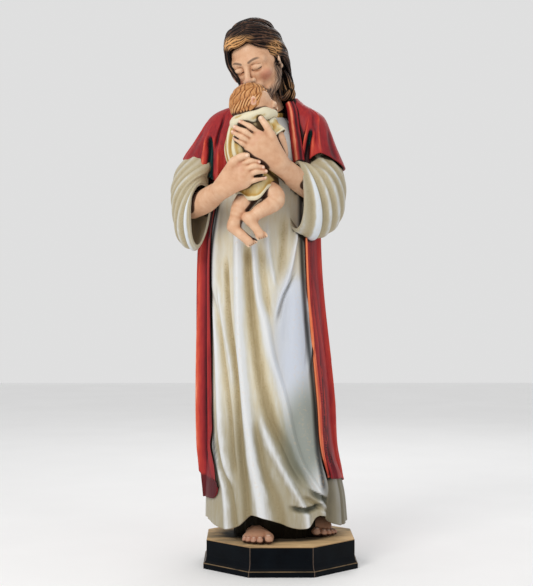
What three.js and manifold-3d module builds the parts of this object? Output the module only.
// A carved and painted wooden statue on an eight-sided plinth: a robed, bearded man in a long cloak
// holds a small child against his chest.
// Millimetres, +Z up. The origin is the centre of the plinth's underside, the statue faces -Y, and +X is
// on the viewer's right, which is the man's left.

import * as THREE from "three";
import { mergeVertices } from "three/addons/utils/BufferGeometryUtils.js";
import Module from "manifold-3d";

// Driving sizes

const PLINTH = {
  acrossFlats: 320,
  height: 62.4,
  skirtOut: 6.8,
  bandHeight: 12.5,
  coveHeight: 15,
  chamfer: 1.5,
};
const SEAT_GAP = 0.3; // between the plinth's top and the figure
const GROUND = PLINTH.height + SEAT_GAP;
const SOLE_CUT = 5; // the figure is modelled this far below the ground, and cut off flat there

// The robe's outline: height, then its left, right, front and back faces
const ROBE = [
  [88, -161, 146, -108, 112],
  [150, -160, 140, -106, 108],
  [190, -159, 131, -104, 106],
  [235, -158, 117, -102, 102],
  [300, -157, 108, -99, 99],
  [380, -156, 103, -95, 97],
  [520, -155, 90, -86, 92],
  [650, -154, 80, -77, 86],
  [760, -150, 78, -72, 82],
  [870, -138, 76, -78, 82],
  [930, -118, 62, -70, 74],
  [970, -88, 22, -52, 52],
  [1000, -66, -10, -34, 26],
];
const ROBE_TOP = 998;
const ROBE_SQUARENESS = 2.25; // 2 is an ellipse, and more is squarer
const ROBE_CROWDING = 1.15; // above 1, the robe's rings crowd towards the hem
const CORE_SHARE = 0.6; // the dark core under the hem, as a share of the hem's outline
const HEM_WALL = { share: 0.95, rise: 10 }; // the hem's inner edge: its share of the outline, and how far up
// Height of the hem by angle: 0 is the front, and positive turns towards +X
const HEM = [
  [-180, 96], [-120, 98], [-75, 100], [-58, 91], [-44, 88], [-30, 97], [-19, 118], [-10, 118],
  [-2, 110], [7, 97], [17, 91], [26, 98], [33, 114], [42, 116], [52, 98], [70, 90], [120, 94], [180, 96],
];

// Folds of the robe: [height, angle] along each, its height in mm (a valley is negative), and its
// half-width in degrees
const ROBE_FOLDS = [
  { along: [[800, -62], [579, -56], [322, -48], [150, -42], [90, -40]], rise: 10, half: 8 },
  { along: [[690, -43], [536, -38], [437, -30.5], [340, -27], [250, -25], [120, -22]], rise: -10, half: 7 },
  { along: [[790, -27], [684, -25], [510, -24], [365, -20], [284, -16], [88, -8]], rise: 15, half: 9 },
  { along: [[720, -15], [536, -11], [412, -5.5], [323, 1.5], [257, 12], [160, 27]], rise: -14, half: 8 },
  { along: [[740, -10], [596, -5.6], [461, 3], [339, 14], [230, 23.3], [120, 40]], rise: 13, half: 7 },
  { along: [[680, 38], [640, 26], [590, 14], [530, 9], [440, 10]], rise: -9, half: 6.5 },
  { along: [[640, 33], [520, 29], [400, 26], [300, 30], [220, 37], [110, 44]], rise: 14, half: 22 },
  { along: [[300, 18], [240, 22], [170, 32], [100, 40]], rise: -8, half: 7 },
  { along: [[240, 53], [170, 50], [110, 48]], rise: -11, half: 7 },
  { along: [[260, 64], [170, 62], [90, 60]], rise: 9, half: 8 },
];
const FOLD_FADE = 60; // over this height a fold rises to its full size, and above the hem it doesn't fade
const HEM_LEVEL = 130;
// How far round the front's cloth has swung by each height, so that its mesh runs along the folds
const ROBE_SWING = [[90, 24], [150, 19], [237, 12], [365, 6], [500, 2], [600, 0]];
const FRONT_DENSITY = 31; // how much denser, in degrees, the robe's mesh is in front

// The cloak's outline: height, then its left, right and back faces and the face where its front would
// close, and the angles from the back at which its left and right front edges stand
const CLOAK = [
  [150, -167, 137, 134, -86, -131, 133],
  [200, -172, 130, 133, -86, -130, 133],
  [260, -176, 119, 130, -86, -129, 133],
  [360, -177, 114, 127, -86, -127, 134],
  [578, -176, 91, 122, -86, -126, 135],
  [690, -173, 84, 119, -86, -126, 135],
  [800, -164, 84, 116, -86, -132, 137],
  [880, -160, 92, 112, -86, -136, 140],
  [950, -148, 84, 98, -74, -141, 143],
  [990, -116, 56, 70, -52, -144, 146],
  [1014, -84, 20, 40, -34, -146, 148],
];
const CLOAK_TOP = 1009;
const CLOAK_SQUARENESS = 2.15;
const CLOAK_EDGE = 9; // how far its front edges stand out of the robe
const CLOAK_CLEAR = 5; // its least distance from the robe elsewhere
const CLOAK_BEHIND = 26; // how far behind those edges its hidden face begins
// Height of its hem, by angle from the back
const CLOAK_HEM_LEVEL = 180; // where those angles are taken
const CLOAK_HEM = [[-132, 178], [-112, 150], [-60, 150], [0, 146], [60, 152], [105, 190], [135, 198]];
// Flutes down it: their period in degrees, how they sway, and the heights between which they rise
const CLOAK_FLUTE = { rise: 8, period: 33, sway: 0.5, swayHeight: 170, from: [990, 860] };

// The part of the cloak over each upper arm: height, centre x, half-width and half-depth, then the height
// of its lower edge by angle, where 0 is the front and positive turns towards +X, and the slit as
// [height, angle] along it
const SHOULDERS = {
  left: {
    rings: [
      [850, -146, 84, 80], [887, -138, 75, 77], [927, -122, 64, 70], [950, -114, 58, 62], [978, -101, 54, 53],
      [994, -86, 46, 42], [1012, -62, 18, 22],
    ],
    hem: [
      [-180, 850], [-130, 874], [-95, 889], [-70, 884], [-42, 870], [-25, 861], [-12, 852], [-3, 841],
      [6, 832], [30, 836], [90, 850], [180, 850],
    ],
    slit: [[840, -3], [890, -10], [919, -23], [940, -38]],
  },
  right: {
    rings: [
      [840, 86, 68, 79], [871, 82, 61, 76], [918, 70, 53, 68], [948, 64, 48, 60], [978, 56, 43, 51],
      [992, 47, 36, 42], [1006, 34, 23, 34], [1021, 26, 14, 20],
    ],
    hem: [
      [-180, 850], [-90, 850], [-55, 866], [-40, 873], [-24, 877], [-7, 889], [8, 896], [27, 890], [43, 882],
      [63, 872], [100, 866], [140, 862], [180, 850],
    ],
    slit: [[870, -26], [906, -14], [935, -3], [956, 5]],
  },
};
const SHOULDER_MIDDLE = -3; // where those rings' centres lie, front to back
const SLIT = { depth: 16, half: 12, fade: 26 }; // its depth, its half-width in degrees, and its top's fade
// The rolled front edge of the cloak on the right: points with half-widths and half-thicknesses
const LAPEL = [
  [[19, -36, 1012], 9, 7], [[26, -47, 988], 11, 8], [[30, -57, 952], 12, 8], [[35, -66, 915], 13, 8],
  [[40, -73, 872], 13, 7],
];
const SHOULDER_FLUTE = { rise: 2.5, count: 6, half: 100 };
const SOFT = 2.1; // squareness of the shoulders, the hair and the child

// Each sleeve is a fan of rings round the crook of the elbow: the ring's point at the crook, its far
// point, and its half-width with the direction of its width
const SLEEVES = {
  left: [
    { near: [-136, -14, 908], far: [-196, 8, 908], half: 42, side: [0, 1, 0] },
    { near: [-146, -52, 868], far: [-228, 2, 866], half: 60, side: [0, 1, 0] },
    { near: [-154, -74, 852], far: [-237, -10, 818], half: 60, side: [0.15, 0.98, 0] },
    { near: [-160, -84, 843], far: [-227, -24, 764], half: 50, side: [0.4, 0.91, 0] },
    { near: [-164, -90, 837], far: [-214, -44, 705], half: 42, side: [0.55, 0.83, 0] },
    { near: [-167, -95, 832], far: [-190, -64, 687], half: 36, side: [0.65, 0.76, 0] },
    { near: [-168, -98, 830], far: [-180, -72, 692], half: 33, side: [0.65, 0.76, 0] },
  ],
  right: [
    { near: [60, -14, 905], far: [114, 8, 900], half: 42, side: [0, 1, 0] },
    { near: [58, -52, 872], far: [140, 2, 860], half: 60, side: [0, 1, 0] },
    { near: [54, -74, 874], far: [144, -4, 806], half: 62, side: [-0.1, 0.99, 0] },
    { near: [48, -86, 875], far: [131, -14, 752], half: 54, side: [-0.2, 0.97, 0] },
    { near: [43, -94, 875], far: [103, -30, 722], half: 46, side: [-0.3, 0.95, 0] },
    { near: [38, -99, 876], far: [69, -54, 711], half: 41, side: [-0.4, 0.91, 0] },
    { near: [34, -101, 875], far: [33, -88, 727], half: 38, side: [-0.43, 0.9, 0] },
  ],
};
const CUFF_WALL = 7;
const CUFF_DEPTH = 0.5; // how far back the cuff is hollow, as a share of the fan
const SLEEVE_FOLDS = { left: 6, right: 5 }; // height of the ridges
const SLEEVE_RIDGES = 4.5; // ridges from the shoulder to the cuff
const SLEEVE_NARROWING = 0.18; // how much narrower a sleeve's ring is at the crook
const CUFF_NARROWING = { left: -0.2, right: 0.18 }; // the same at the cuff

// Limbs: points along each, with the radius there
const FOREARMS = {
  left: [[[-190, -66, 780], 26], [[-162, -98, 790], 26], [[-138, -132, 804], 22], [[-122, -150, 812], 19]],
  right: [[[98, -42, 802], 27], [[44, -91, 831], 25], [[12, -128, 852], 22.5], [[-10, -152, 868], 20]],
};
const HANDS = {
  // The hand under the child
  left: {
    palm: [
      [[-126, -152, 812], 19, 15], [[-106, -162, 828], 25, 13], [[-88, -167, 840], 27, 11],
      [[-78, -169, 842], 24, 8],
    ],
    across: [-0.25, 0, 0.97],
    fingers: [
      [[[-88, -170, 861], 6.8], [[-66, -178, 868], 6.4], [[-48, -175, 866], 5.4]],
      [[[-83, -172, 848], 7.0], [[-58, -180, 857], 6.6], [[-40, -176, 855], 5.4]],
      [[[-82, -171, 834], 6.8], [[-54, -178, 846], 6.4], [[-34, -173, 847], 5.2]],
      [[[-86, -168, 820], 6.4], [[-58, -173, 829], 5.8], [[-35, -168, 834], 4.6]],
    ],
    thumb: [
      [[-118, -158, 836], 9.5], [[-100, -170, 866], 8.6], [[-84, -178, 877], 7.8], [[-72, -180, 879], 6.4],
    ],
  },
  // The hand on the child's back
  right: {
    palm: [
      [[-4, -150, 866], 20, 15], [[-24, -163, 884], 26, 13], [[-44, -169, 899], 28, 11],
      [[-56, -170, 908], 24, 8],
    ],
    across: [0.64, 0, 0.77],
    fingers: [
      [[[-46, -171, 925], 6.8], [[-66, -177, 939], 6.4], [[-86, -169, 950], 5.4]],
      [[[-52, -173, 913], 7.0], [[-76, -179, 928], 6.6], [[-97, -169, 939], 5.4]],
      [[[-58, -172, 903], 6.8], [[-82, -178, 918], 6.4], [[-101, -166, 929], 5.2]],
      [[[-62, -169, 893], 6.4], [[-82, -174, 906], 5.8], [[-98, -161, 917], 4.6]],
    ],
    thumb: [
      [[-12, -158, 892], 9.5], [[-22, -168, 920], 8.8], [[-32, -173, 940], 8], [[-43, -170, 957], 6.4],
    ],
  },
};

// The head, in a frame of its own that is turned and tilted: radii are half sizes
const HEAD = { at: [-53, -40, 1094], turn: -22, nod: 24, lean: -10 };
const SKULL = { at: [0, 4, 14], radii: [50, 62, 62] };
const JAW = { at: [0, -16, -34], radii: [37, 40, 44] };
const BEARD = { at: [0, -24, -56], radii: [31, 31, 27] };
const BROW = { at: [0, -40, 12], radii: [33, 16, 14] };
const NOSE = [[[0, -54, 8], 6], [[0, -62, -8], 7], [[0, -66, -20], 9]];
const EYE = { at: [18, -45, 0], radii: [9, 9, 9] };
const EAR = { at: [51, 5, -6], radii: [6, 10, 17] };
// The mass of the hair: height, then its left, right, front and back faces
const HAIR = [
  [-104, -28, 32, 16, 54],
  [-88, -41, 45, 4, 68],
  [-50, -52, 50, -5, 77],
  [-10, -61, 58, -22, 81],
  [24, -62, 58, -38, 79],
  [58, -52, 54, -52, 69],
  [82, -35, 39, -40, 51],
  [94, -14, 18, -16, 23],
];
const HAIR_RIDGES = 8;
const HAIR_RIDGE = 3; // their height
const HAIR_CROWDING = 1.3; // above 1, the rings of the hair crowd towards the crown
const NECK = [[[-35, 6, 955], 42], [[-36, -2, 988], 38], [[-36, -6, 1012], 36], [[-40, -8, 1040], 35]];
// Locks of hair in the head's frame: points and radii
const LOCKS = [
  [
    [[-4, -42, 80], 5], [[24, -46, 62], 8], [[48, -30, 38], 9], [[57, -14, 14], 9], [[60, 10, 0], 10],
    [[59, 30, -20], 10], [[54, 26, -56], 10],
  ],
  [
    [[6, -32, 86], 5], [[36, -26, 68], 8], [[54, 0, 40], 10], [[58, 22, 4], 11], [[54, 16, -56], 12],
    [[52, 4, -84], 9],
  ],
  [[[-12, -34, 78], 5], [[-34, -34, 62], 7], [[-46, -33, 32], 8], [[-42, -38, -4], 8], [[-29, -47, -28], 5]],
  [
    [[-14, -32, 86], 5], [[-42, -24, 66], 9], [[-56, -6, 30], 10], [[-59, 2, -16], 11], [[-53, 0, -52], 11],
    [[-45, -6, -78], 8],
  ],
];

// The child: its head lies on the man's shoulder, and its back is to the viewer
const CHILD_HEAD = { at: [-65, -122, 994], radii: [44, 42, 43] };
const CHILD_FACE = { at: [-34, -118, 984], radii: [22, 24, 22] };
const CHILD_EAR = { at: [-59, -162, 995], radii: [6, 5, 10] };
const CHILD_COLLAR = { at: [-60, -120, 962], radius: 38, thick: 13, drop: 14 };
// The wrapped body: height, then its left, right, front and back faces
const CHILD_BODY = [
  [786, -91, -12, -154, -78],
  [806, -95, -8, -158, -70],
  [830, -103, -7, -161, -62],
  [860, -113, -13, -160, -58],
  [897, -118, -9, -162, -58],
  [940, -110, -8, -164, -62],
  [966, -100, -20, -158, -72],
];
const CHILD_WRINKLE = { rise: 3, count: 4 };
const CHILD_ARM = [[[-16, -132, 944], 15], [[-4, -134, 920], 13], [[4, -126, 892], 11], [[2, -112, 868], 10]];
const CHILD_LEGS = [
  [[[-62, -122, 806], 21], [[-84, -132, 778], 20], [[-98, -134, 742], 13]],
  [[[-30, -124, 816], 24], [[-14, -136, 790], 22], [[-48, -146, 764], 15], [[-64, -148, 750], 12]],
];
const CHILD_FEET = [
  [[[-103, -134, 733], 12], [[-88, -140, 720], 11], [[-68, -145, 703], 10]],
  [[[-72, -148, 752], 11], [[-58, -151, 736], 10], [[-46, -152, 718], 9]],
];

// The man's bare feet: heel to toes, with half-widths and half-heights, and the toes as points and radii
const FEET = [
  {
    sole: [
      [[-52, -20, 80], 22, 18], [[-50, -66, 75], 25, 12], [[-48, -94, 73], 28, 10],
      [[-47, -106, 72], 29, 9.5],
    ],
    toes: [
      [[-30, -108, 73.5], [-27, -127, 72.5], 10.5],
      [[-45, -110, 72], [-45, -131, 71], 8],
      [[-57, -108, 71.5], [-58, -127, 70.5], 7.5],
      [[-67, -104, 71], [-69, -120, 70], 7],
      [[-75, -98, 70.5], [-77, -111, 69.5], 6.5],
    ],
  },
  {
    sole: [
      [[50, 60, 84], 22, 22], [[64, 26, 88], 25, 24], [[79, -6, 84], 28, 20], [[86, -20, 77], 27, 14],
    ],
    toes: [
      [[71, -22, 76], [79, -42, 73], 10.5],
      [[86, -26, 74], [95, -43, 72], 8],
      [[96, -22, 73], [105, -37, 71], 7.5],
      [[104, -16, 72], [113, -29, 70.5], 7],
      [[110, -8, 71], [119, -20, 70], 6.5],
    ],
  },
];

const TOE_TIP = 0.92; // a toe's end, as a share of its root
// The directions in which a limb's width lies
const SIDEWAYS = [1, 0, 0];
const UPWARD = [0, 0, 1];

const COLOURS = { figure: 0xd8cdb4, plinth: 0x0b0f12 };
// How many sides and rings the meshes have
const DETAIL = {
  robeSides: 39,
  robeRings: 16,
  cloakSides: 30,
  cloakRings: 7,
  shoulderSides: 22,
  shoulderRings: 6,
  sleeveSides: 13,
  sleeveRings: 8,
  childSides: 13,
  childRings: 6,
  limbSides: 6,
  palmSides: 7,
  fingerSides: 5,
};

// Curves

const rad = THREE.MathUtils.degToRad;

// A smooth curve through [at, value] pairs in rising order, held level past both ends
function curve(pairs, at) {
  const last = pairs.length - 1;
  if (at <= pairs[0][0]) return pairs[0][1];
  if (at >= pairs[last][0]) return pairs[last][1];
  let i = 0;
  while (pairs[i + 1][0] < at) i++;
  const slope = (k) => {
    const a = pairs[Math.max(k - 1, 0)];
    const b = pairs[Math.min(k + 1, last)];
    return (b[1] - a[1]) / (b[0] - a[0]);
  };
  const span = pairs[i + 1][0] - pairs[i][0];
  const t = (at - pairs[i][0]) / span;
  const t2 = t * t;
  const t3 = t2 * t;
  return (
    (2 * t3 - 3 * t2 + 1) * pairs[i][1] +
    (t3 - 2 * t2 + t) * span * slope(i) +
    (3 * t2 - 2 * t3) * pairs[i + 1][1] +
    (t3 - t2) * span * slope(i + 1)
  );
}

// The values of a table's row, worked out at a height
function rowAt(table, height) {
  return table[0].slice(1).map((_, k) => curve(table.map((row) => [row[0], row[k + 1]]), height));
}

function bump(distance) {
  return Math.abs(distance) < 1 ? 0.5 + 0.5 * Math.cos(Math.PI * distance) : 0;
}

// Rises smoothly from 0 at one value to 1 at another, which may be the lower one
function smooth(from, to, at) {
  return THREE.MathUtils.smootherstep((at - from) / (to - from), 0, 1);
}

// How far the folds of a list lift the cloth at an angle and a height
function foldLift(folds, angle, height) {
  let lift = 0;
  for (const fold of folds) {
    const path = [...fold.along].sort((a, b) => a[0] - b[0]);
    const low = path[0][0];
    const high = path[path.length - 1][0];
    const fade = Math.min(FOLD_FADE, (high - low) / 3);
    const foot = low < HEM_LEVEL ? 1 : smooth(low, low + fade, height);
    const share = foot * smooth(high, high - fade, height);
    if (share > 0) lift += fold.rise * share * bump((angle - curve(path, height)) / fold.half);
  }
  return lift;
}

const power = (value, squareness) => Math.sign(value) * Math.abs(value) ** (2 / squareness);

// A point of a rounded outline between faces, at an angle from the front, moved out by a lift
function outline([left, right, front, back], angle, squareness, lift) {
  const s = Math.sin(rad(angle));
  const c = Math.cos(rad(angle));
  const halfWidth = (right - left) / 2;
  const halfDepth = (back - front) / 2;
  const normal = new THREE.Vector2(s / halfWidth, -c / halfDepth).normalize();
  return [
    (left + right) / 2 + halfWidth * power(s, squareness) + lift * normal.x,
    (front + back) / 2 - halfDepth * power(c, squareness) + lift * normal.y,
  ];
}

// Solids

// A closed mesh from rings of points, with a fan over either end, to its tip or else to its middle
function ringSolid(rings, sides, pointAt, tips = []) {
  const points = [];
  const faces = [];
  for (let j = 0; j <= rings; j++)
    for (let i = 0; i < sides; i++) points.push(new THREE.Vector3(...pointAt(j / rings, i / sides)));
  for (let j = 0; j < rings; j++)
    for (let i = 0; i < sides; i++) {
      const a = j * sides + i;
      const b = j * sides + ((i + 1) % sides);
      faces.push(a, b, b + sides, a, b + sides, a + sides);
    }
  for (const [end, start] of [0, rings * sides].entries()) {
    const middle = new THREE.Vector3();
    for (let i = 0; i < sides; i++) middle.addScaledVector(points[start + i], 1 / sides);
    points.push(tips[end] ?? middle);
    for (let i = 0; i < sides; i++) {
      const edge = [start + i, start + ((i + 1) % sides)];
      faces.push(points.length - 1, edge[1 - end], edge[end]);
    }
  }
  return meshOf(points, faces);
}

function meshOf(points, faces) {
  const geometry = new THREE.BufferGeometry().setFromPoints(points);
  geometry.setIndex(faces);
  return geometry;
}

// A tube through [point, half-width, half-height] stations with round ends. Its width lies along across
function limb(stations, across, sides = DETAIL.limbSides) {
  const path = new THREE.CatmullRomCurve3(stations.map((station) => new THREE.Vector3(...station[0])));
  const last = stations.length - 1;
  const rings = last + 2;
  const side = new THREE.Vector3(...across);
  const roundEnd = 0.7;
  const sizes = (k) => [stations[k][1], stations[k][2] ?? stations[k][1]];
  const tip = (k) => {
    const way = path.getTangent(k / last).multiplyScalar(k ? 1 : -1);
    return path.getPoint(k / last).addScaledVector(way, Math.min(...sizes(k)));
  };
  const pointAt = (v, u) => {
    const ring = Math.round(v * rings);
    const k = THREE.MathUtils.clamp(ring - 1, 0, last);
    const past = ring - 1 - k;
    const tangent = path.getTangent(k / last);
    const width = side.clone().addScaledVector(tangent, -side.dot(tangent)).normalize();
    const height = new THREE.Vector3().crossVectors(tangent, width);
    const [halfWidth, halfHeight] = sizes(k).map((size) => (past ? size * roundEnd : size));
    const angle = 2 * Math.PI * u;
    return path
      .getPoint(k / last)
      .addScaledVector(tangent, past * halfHeight)
      .addScaledVector(width, halfWidth * Math.cos(angle))
      .addScaledVector(height, halfHeight * Math.sin(angle))
      .toArray();
  };
  return ringSolid(rings, sides, pointAt, [tip(0), tip(last)]);
}

function ball({ at, radii }, sides = 12, rings = 8) {
  return new THREE.SphereGeometry(1, sides, rings).scale(...radii).translate(...at);
}

// Cloth

// The robe, from the foot of its core out to the hem and up to the neck
function robe() {
  const inner = 3;
  const rings = inner + DETAIL.robeRings - 1;
  return ringSolid(rings, DETAIL.robeSides, (v, u) => {
    const j = Math.round(v * rings);
    const column = 360 * u - 180 - FRONT_DENSITY * Math.sin(2 * Math.PI * (u - 0.5));
    const angleAt = (height) => column + curve(ROBE_SWING, height) * bump(column / 90);
    const hem = curve(HEM, angleAt(ROBE_SWING[0][0]));
    const rise = Math.max(j - inner, 0) / (rings - inner);
    const height = hem + (ROBE_TOP - hem) * rise ** ROBE_CROWDING;
    const angle = angleAt(height);
    const lift = foldLift(ROBE_FOLDS, angle, height);
    const [x, y] = outline(rowAt(ROBE, height), angle, ROBE_SQUARENESS, lift);
    if (j >= inner) return [x, y, height];
    const share = j < 2 ? CORE_SHARE : HEM_WALL.share;
    const [left, right, front, back] = rowAt(ROBE, hem);
    const middle = [(left + right) / 2, (front + back) / 2];
    const level = [GROUND - SOLE_CUT, hem + HEM_WALL.rise, hem][j];
    return [middle[0] + (x - middle[0]) * share, middle[1] + (y - middle[1]) * share, level];
  });
}

// Moves a point out of the robe until it clears it: straight forward in front, and elsewhere away from
// the robe's middle
function overRobe(x, y, height) {
  const [left, right, front, back] = rowAt(ROBE, height);
  const halfWidth = (right - left) / 2;
  const halfDepth = (back - front) / 2;
  const middle = [(left + right) / 2, (front + back) / 2];
  const share = THREE.MathUtils.clamp((x - middle[0]) / halfWidth, -1, 1);
  const angle = Math.asin(power(share, 4 / ROBE_SQUARENESS)) / rad(1);
  const clear = CLOAK_EDGE + Math.max(foldLift(ROBE_FOLDS, angle, height), 0);
  const depth = (1 - Math.abs(share) ** ROBE_SQUARENESS) ** (1 / ROBE_SQUARENESS);
  const forward = middle[1] - halfDepth * depth - clear;
  if (y < middle[1]) y = Math.min(y, forward);
  const away = [(x - middle[0]) / halfWidth, (y - middle[1]) / halfDepth];
  const total = away.reduce((sum, value) => sum + Math.abs(value) ** ROBE_SQUARENESS, 0);
  const reach = total ** (1 / ROBE_SQUARENESS);
  const push = Math.max(1, (1 + CLOAK_CLEAR / halfWidth) / reach);
  return [middle[0] + (x - middle[0]) * push, middle[1] + (y - middle[1]) * push];
}

function cloakLift(angle, height) {
  const { rise, period, sway, swayHeight, from } = CLOAK_FLUTE;
  const turn = (2 * Math.PI * angle) / period + sway * Math.sin(height / swayHeight);
  return rise * Math.cos(turn) * smooth(...from, height);
}

function cloakPoint(across, up) {
  const edgesAt = (height) => rowAt(CLOAK, height).slice(4);
  const angleAt = (height) => THREE.MathUtils.lerp(...edgesAt(height), across);
  const hem = curve(CLOAK_HEM, angleAt(CLOAK_HEM_LEVEL));
  const height = hem + (CLOAK_TOP - hem) * up;
  const angle = angleAt(height);
  const [left, right, back, front] = rowAt(CLOAK, height);
  // Angles here run from the back, so the front and back faces change places
  const [x, y] = outline([left, right, -back, -front], angle, CLOAK_SQUARENESS, cloakLift(angle, height));
  return [...overRobe(x, -y, height), height];
}

// The cloak is closed by a face that runs through the body, from behind one front edge to the other
function cloak() {
  const outer = DETAIL.cloakSides;
  const sides = outer + 3;
  return ringSolid(DETAIL.cloakRings, sides, (v, u) => {
    const i = Math.round(u * sides);
    if (i <= outer) return cloakPoint(i / outer, v);
    const [x, y, z] = cloakPoint(i === outer + 1 ? 1 : 0, v);
    return [x, y + CLOAK_BEHIND, z];
  });
}

// The cloak over one upper arm, with a deep slit in front for the arm
function shoulder({ rings, hem, slit }) {
  const top = rings.at(-1)[0];
  const slitTop = slit.at(-1)[0];
  const { rise, count, half } = SHOULDER_FLUTE;
  return ringSolid(DETAIL.shoulderRings, DETAIL.shoulderSides, (v, u) => {
    const angle = 360 * u - 180;
    const low = curve(hem, angle);
    const height = low + (top - low) * v;
    const [x, halfWidth, halfDepth] = rowAt(rings, height);
    const aside = angle - curve(slit, height);
    const groove = SLIT.depth * bump(aside / SLIT.half) * smooth(slitTop, slitTop - SLIT.fade, height);
    const shareDown = (top - height) / (top - low);
    const flutes = rise * Math.cos(rad(angle * count)) * smooth(0.3, 1, shareDown) * bump(aside / half);
    const faces = [x - halfWidth, x + halfWidth, SHOULDER_MIDDLE - halfDepth, SHOULDER_MIDDLE + halfDepth];
    return [...outline(faces, angle, SOFT, flutes - groove), height];
  });
}

// One sleeve: out along the fan to the cuff, then back inside it
function sleeve(fan, rise, cuffNarrowing) {
  const last = fan.length - 1;
  const out = DETAIL.sleeveRings;
  const back = 2;
  const rings = out + back + 1;
  const part = (share, pick) => curve(fan.map((ring, k) => [k, pick(ring)]), share * last);
  const vector = (share, key) => {
    const values = [0, 1, 2].map((k) => part(share, (ring) => ring[key][k]));
    return new THREE.Vector3(...values);
  };
  return ringSolid(rings, DETAIL.sleeveSides, (v, u) => {
    const j = Math.round(v * rings);
    const inside = j > out;
    const share = inside ? 1 - ((j - out - 1) / back) * CUFF_DEPTH : j / out;
    const near = vector(share, "near");
    const far = vector(share, "far");
    const middle = near.clone().add(far).multiplyScalar(0.5);
    const side = vector(share, "side").normalize();
    const half = part(share, (ring) => ring.half);
    const narrowing = THREE.MathUtils.lerp(SLEEVE_NARROWING, cuffNarrowing, smooth(0.5, 1, share));
    const angle = 2 * Math.PI * u;
    const away = 0.5 - 0.5 * Math.cos(angle);
    const ridges = Math.cos(2 * Math.PI * SLEEVE_RIDGES * share) * smooth(0, 0.2, share);
    const point = middle.clone().addScaledVector(near.clone().sub(far), Math.cos(angle) / 2);
    point.addScaledVector(side, half * Math.sin(angle) * (1 - narrowing * Math.cos(angle)));
    const outward = point.clone().sub(middle);
    const wall = Math.min(CUFF_WALL, outward.length() / 2);
    const moved = inside ? -wall : rise * ridges * away;
    return point.addScaledVector(outward.normalize(), moved).toArray();
  });
}

// Bodies

function hand({ palm, across, fingers, thumb }) {
  const digits = [...fingers, thumb].map((digit) => limb(digit, across, DETAIL.fingerSides));
  return [limb(palm, across, DETAIL.palmSides), ...digits];
}

// Turns a geometry from the head's frame into the statue's
function headFrame(geometry) {
  geometry.rotateY(rad(HEAD.lean));
  geometry.rotateX(rad(HEAD.nod));
  geometry.rotateZ(rad(HEAD.turn));
  return geometry.translate(...HEAD.at);
}

function hairMass() {
  const low = HAIR[0][0];
  const high = HAIR.at(-1)[0];
  const rings = 6;
  const sides = 2 * HAIR_RIDGES;
  return ringSolid(rings, sides, (v, u) => {
    const height = low + (high - low) * (1 - (1 - v) ** HAIR_CROWDING);
    const ridge = HAIR_RIDGE * Math.cos(Math.PI * sides * u);
    return [...outline(rowAt(HAIR, height), 360 * u - 180, SOFT, ridge), height];
  });
}

// The other one of a pair, across the middle of the head
function mirrored({ at: [x, y, z], radii }) {
  return { at: [-x, y, z], radii };
}

function head() {
  const face = [
    ball(SKULL, 10, 7),
    ball(JAW, 9, 6),
    ball(BEARD, 9, 6),
    ball(BROW, 8, 5),
    limb(NOSE, SIDEWAYS, 6),
    ...[EYE, mirrored(EYE)].map((eye) => ball(eye, 6, 4)),
    ...[EAR, mirrored(EAR)].map((ear) => ball(ear, 6, 4)),
  ];
  const hair = [hairMass(), ...LOCKS.map((lock) => limb(lock, UPWARD, 5))];
  return [...[...face, ...hair].map(headFrame), limb(NECK, SIDEWAYS, 8)];
}

function child() {
  const low = CHILD_BODY[0][0];
  const high = CHILD_BODY.at(-1)[0];
  const body = ringSolid(DETAIL.childRings, DETAIL.childSides, (v, u) => {
    const height = THREE.MathUtils.lerp(low, high, v);
    const angle = 360 * u - 180;
    const wrinkle = CHILD_WRINKLE.rise * Math.cos(rad(angle * CHILD_WRINKLE.count + height));
    return [...outline(rowAt(CHILD_BODY, height), angle, SOFT, wrinkle), height];
  });
  const collar = new THREE.TorusGeometry(CHILD_COLLAR.radius, CHILD_COLLAR.thick, 5, 10)
    .rotateY(rad(-CHILD_COLLAR.drop))
    .translate(...CHILD_COLLAR.at);
  const limbs = [CHILD_ARM, ...CHILD_LEGS, ...CHILD_FEET].map((stations) => limb(stations, SIDEWAYS));
  return [body, collar, ball(CHILD_HEAD, 10, 8), ball(CHILD_FACE, 9, 6), ball(CHILD_EAR, 6, 4), ...limbs];
}

function foot({ sole, toes }) {
  const toe = ([from, to, radius]) => {
    const stations = [[from, radius], [to, radius * TOE_TIP]];
    return limb(stations, SIDEWAYS, DETAIL.fingerSides);
  };
  return [limb(sole, SIDEWAYS, 7), ...toes.map(toe)];
}

// An eight-sided plinth with a cove and a band round its foot
function plinth() {
  const flat = Math.cos(Math.PI / 8);
  const inner = PLINTH.acrossFlats / 2 / flat;
  const outer = (PLINTH.acrossFlats / 2 + PLINTH.skirtOut) / flat;
  const coveTop = PLINTH.bandHeight + PLINTH.coveHeight;
  const step = PLINTH.chamfer;
  const profile = [
    [0, 0], [outer, 0], [outer, PLINTH.bandHeight - step], [outer - step, PLINTH.bandHeight],
    [(outer + inner) / 2 - step, PLINTH.bandHeight + PLINTH.coveHeight / 3], [inner, coveTop],
    [inner, PLINTH.height - step], [inner - step, PLINTH.height], [0, PLINTH.height],
  ];
  return new THREE.LatheGeometry(profile.map((p) => new THREE.Vector2(...p)), 8)
    .rotateX(Math.PI / 2)
    .rotateZ(Math.PI / 8);
}

// Joining

const wasm = await Module();
wasm.setup();

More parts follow.
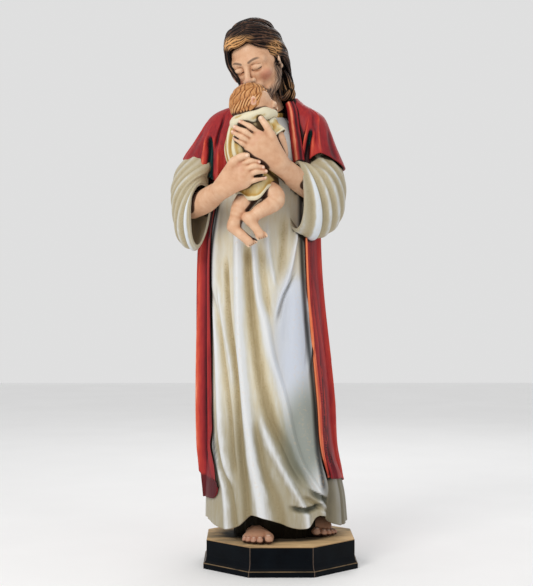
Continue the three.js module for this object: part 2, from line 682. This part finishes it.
function toSolid(geometry) {
  const bare = geometry.clone();
  bare.deleteAttribute("normal");
  bare.deleteAttribute("uv");
  const merged = mergeVertices(bare, 1e-3);
  const faces = new Uint32Array(merged.index.array);
  const vertProperties = merged.attributes.position.array;
  const build = (triVerts) => new wasm.Manifold(new wasm.Mesh({ numProp: 3, vertProperties, triVerts }));
  const solid = build(faces);
  if (solid.volume() > 0) return solid;
  for (let i = 0; i < faces.length; i += 3) [faces[i], faces[i + 1]] = [faces[i + 1], faces[i]];
  return build(faces);
}

const join = (geometries) => geometries.map(toSolid).reduce((whole, piece) => whole.add(piece));

function toGeometry(solid) {
  const mesh = solid.getMesh();
  const positions = new Float32Array(mesh.numVert * 3);
  for (let i = 0; i < mesh.numVert; i++)
    positions.set(mesh.vertProperties.subarray(i * mesh.numProp, i * mesh.numProp + 3), i * 3);
  const geometry = new THREE.BufferGeometry();
  geometry.setAttribute("position", new THREE.BufferAttribute(positions, 3));
  geometry.setIndex(new THREE.BufferAttribute(mesh.triVerts, 1));
  geometry.computeVertexNormals();
  return geometry;
}

// The outer shell alone, so that pockets shut in between the pieces are filled
function filled(solid) {
  return solid.decompose().reduce((most, piece) => (piece.volume() > most.volume() ? piece : most));
}

function figure() {
  const sides = ["left", "right"];
  const cloth = [robe(), cloak(), limb(LAPEL, SIDEWAYS), ...sides.map((side) => shoulder(SHOULDERS[side]))];
  const sleeves = sides.map((side) => sleeve(SLEEVES[side], SLEEVE_FOLDS[side], CUFF_NARROWING[side]));
  const arms = sides.map((side) => limb(FOREARMS[side], UPWARD, DETAIL.palmSides));
  const skin = [...arms, ...sides.flatMap((side) => hand(HANDS[side])), ...FEET.flatMap(foot)];
  const whole = filled(join([...cloth, ...sleeves, ...skin, ...head(), ...child()]));
  const size = 2 * PLINTH.acrossFlats;
  const below = new THREE.BoxGeometry(size, size, size).translate(0, 0, GROUND - size / 2);
  return toGeometry(whole.subtract(toSolid(below)));
}

function piece(name, geometry, material) {
  const mesh = new THREE.Mesh(geometry, new THREE.MeshStandardMaterial(material));
  mesh.name = name;
  return mesh;
}

const statue = new THREE.Group();
statue.add(piece("figure", figure(), { color: COLOURS.figure, roughness: 0.5, metalness: 0 }));
statue.add(piece("plinth", plinth(), { color: COLOURS.plinth, roughness: 0.35, metalness: 0 }));

export default statue;
